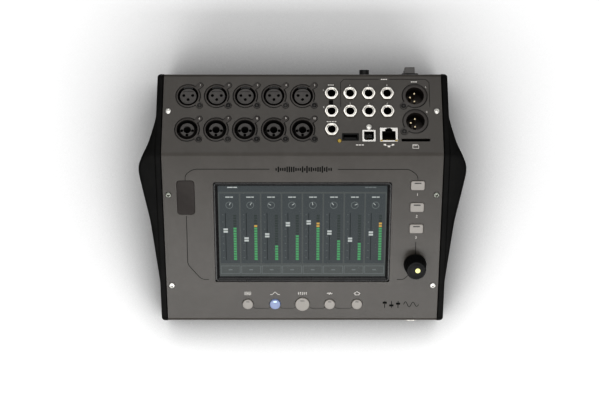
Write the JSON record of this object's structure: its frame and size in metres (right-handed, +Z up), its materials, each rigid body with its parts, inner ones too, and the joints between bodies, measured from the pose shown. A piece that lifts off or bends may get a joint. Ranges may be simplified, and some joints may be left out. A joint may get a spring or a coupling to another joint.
{
  "type": "digital audio mixing desk",
  "caption": "Compact wedge-shaped audio mixing desk with a sloping touch screen, soft keys, a rotary knob, round buttons and audio sockets on its rear slope.",
  "frame": {"origin": "centre of the bounding box in plan, at the underside of the rubber feet", "axes": "+X to the operator's right, +Y towards the rear edge, +Z up from the table"},
  "size_m": [0.293, 0.2356, 0.091],
  "materials": {
    "panel_coat": "fine satin powder coat, warm dark grey",
    "pan_coat": "satin black powder coat",
    "cheek_moulding": "finely textured black moulding",
    "foot_rubber": "matt",
    "cover_plastic": "satin dark grey",
    "bezel_plastic": "gloss black",
    "screen_glass": "gloss over a lit display",
    "display_body": "display face",
    "bracket_steel": "zinc plated",
    "key_grey": "satin warm light grey",
    "lit_key": "satin, glowing pale blue",
    "switch_black": "matt",
    "board_green": "solder mask",
    "knob_black": "soft touch",
    "dot_yellow": "pale yellow",
    "shaft_steel": "turned",
    "rocker_grey": "satin grey",
    "fitting_black": "moulded black",
    "socket_black": "moulded, dark warm grey",
    "latch_black": "moulded black",
    "nut_nickel": "nickel plated",
    "socket_nickel": "dark plated die casting",
    "pin_metal": "silver plated",
    "usb_shell": "tin plated shell",
    "network_shell": "tin plated shell",
    "led_amber": "tinted lens",
    "screw_silver": "plated",
    "screw_black": "black oxide",
    "standoff_brass": "turned",
    "sink_aluminium": "extruded",
    "cable_film": "amber film"
  },
  "bodies": {
    "case": {"top_panel": "panel_coat", "base_pan": "pan_coat", "left_cheek": "cheek_moulding", "right_cheek": "cheek_moulding", "rubber_feet": "foot_rubber", "antenna_cover": "cover_plastic", "screen_bezel": "bezel_plastic", "touch_glass": "screen_glass", "lcd_panel": "display_body", "lcd_bracket": "bracket_steel", "tact_switches": "switch_black", "encoder_body": "switch_black", "control_board": "board_green", "main_board": "board_green", "connector_board": "board_green", "power_switch_body": "fitting_black", "dc_inlet": "fitting_black", "phones_jack": "fitting_black", "line_jacks": "fitting_black", "card_slot": "fitting_black", "mic_socket_1": "socket_black", "combo_socket_6": "socket_black", "mic_socket_2": "socket_black", "combo_socket_7": "socket_black", "mic_socket_3": "socket_black", "combo_socket_8": "socket_black", "mic_socket_4": "socket_black", "combo_socket_9": "socket_black", "mic_socket_5": "socket_black", "combo_socket_10": "socket_black", "panel_nuts": "nut_nickel", "phones_nut": "nut_nickel", "main_out_sockets": "socket_nickel", "main_out_pins": "pin_metal", "usb_host_socket": "usb_shell", "usb_device_socket": "usb_shell", "network_socket": "network_shell", "status_led": "led_amber", "panel_screws": "screw_silver", "black_screws": "screw_black", "board_standoffs": "standoff_brass", "heatsink": "sink_aluminium", "display_cable": "cable_film"},
    "soft_key_1": {"soft_key_1": "key_grey"},
    "soft_key_2": {"soft_key_2": "key_grey"},
    "soft_key_3": {"soft_key_3": "key_grey"},
    "setup_button": {"setup_button": "key_grey"},
    "process_button": {"process_button": "lit_key"},
    "home_button": {"home_button": "key_grey"},
    "effects_button": {"effects_button": "key_grey"},
    "fader_button": {"fader_button": "key_grey"},
    "knob": {"encoder_knob": "knob_black", "knob_cap": "dot_yellow", "encoder_shaft": "shaft_steel"},
    "rocker": {"power_rocker": "rocker_grey"},
    "mic_latch_1": {"mic_latch_1": "latch_black"},
    "mic_latch_2": {"mic_latch_2": "latch_black"},
    "mic_latch_3": {"mic_latch_3": "latch_black"},
    "mic_latch_4": {"mic_latch_4": "latch_black"},
    "mic_latch_5": {"mic_latch_5": "latch_black"}
  },
  "joints": [
    {"name": "soft_key_1_press", "type": "slide", "parent": "case", "child": "soft_key_1", "axis": [0, 0.3453, -0.9385], "range_m": [0, 0.0008], "stiffness_N_per_m": 300, "springref_m": -0.0005},
    {"name": "soft_key_2_press", "type": "slide", "parent": "case", "child": "soft_key_2", "axis": [0, 0.3453, -0.9385], "range_m": [0, 0.0008], "stiffness_N_per_m": 300, "springref_m": -0.0005},
    {"name": "soft_key_3_press", "type": "slide", "parent": "case", "child": "soft_key_3", "axis": [0, 0.3453, -0.9385], "range_m": [0, 0.0008], "stiffness_N_per_m": 300, "springref_m": -0.0005},
    {"name": "setup_press", "type": "slide", "parent": "case", "child": "setup_button", "axis": [0, 0.3453, -0.9385], "range_m": [0, 0.0008], "stiffness_N_per_m": 300, "springref_m": -0.0005},
    {"name": "process_press", "type": "slide", "parent": "case", "child": "process_button", "axis": [0, 0.3453, -0.9385], "range_m": [0, 0.0008], "stiffness_N_per_m": 300, "springref_m": -0.0005},
    {"name": "home_press", "type": "slide", "parent": "case", "child": "home_button", "axis": [0, 0.3453, -0.9385], "range_m": [0, 0.0008], "stiffness_N_per_m": 300, "springref_m": -0.0005},
    {"name": "effects_press", "type": "slide", "parent": "case", "child": "effects_button", "axis": [0, 0.3453, -0.9385], "range_m": [0, 0.0008], "stiffness_N_per_m": 300, "springref_m": -0.0005},
    {"name": "fader_press", "type": "slide", "parent": "case", "child": "fader_button", "axis": [0, 0.3453, -0.9385], "range_m": [0, 0.0008], "stiffness_N_per_m": 300, "springref_m": -0.0005},
    {"name": "knob_turn", "type": "hinge", "parent": "case", "child": "knob", "pos_m": [0.1032, -0.06492, 0.05792], "axis": [0, -0.3453, 0.9385], "continuous": true},
    {"name": "power_rocker_tilt", "type": "hinge", "parent": "case", "child": "rocker", "pos_m": [0.0985, 0.10981, 0.046], "axis": [1, 0, 0], "range_deg": [0, 20]},
    {"name": "mic_latch_1_press", "type": "slide", "parent": "case", "child": "mic_latch_1", "axis": [0, -0.3007, -0.9537], "range_m": [0, 0.0015], "stiffness_N_per_m": 300, "springref_m": -0.0005},
    {"name": "mic_latch_2_press", "type": "slide", "parent": "case", "child": "mic_latch_2", "axis": [0, -0.3007, -0.9537], "range_m": [0, 0.0015], "stiffness_N_per_m": 300, "springref_m": -0.0005},
    {"name": "mic_latch_3_press", "type": "slide", "parent": "case", "child": "mic_latch_3", "axis": [0, -0.3007, -0.9537], "range_m": [0, 0.0015], "stiffness_N_per_m": 300, "springref_m": -0.0005},
    {"name": "mic_latch_4_press", "type": "slide", "parent": "case", "child": "mic_latch_4", "axis": [0, -0.3007, -0.9537], "range_m": [0, 0.0015], "stiffness_N_per_m": 300, "springref_m": -0.0005},
    {"name": "mic_latch_5_press", "type": "slide", "parent": "case", "child": "mic_latch_5", "axis": [0, -0.3007, -0.9537], "range_m": [0, 0.0015], "stiffness_N_per_m": 300, "springref_m": -0.0005}
  ]
}
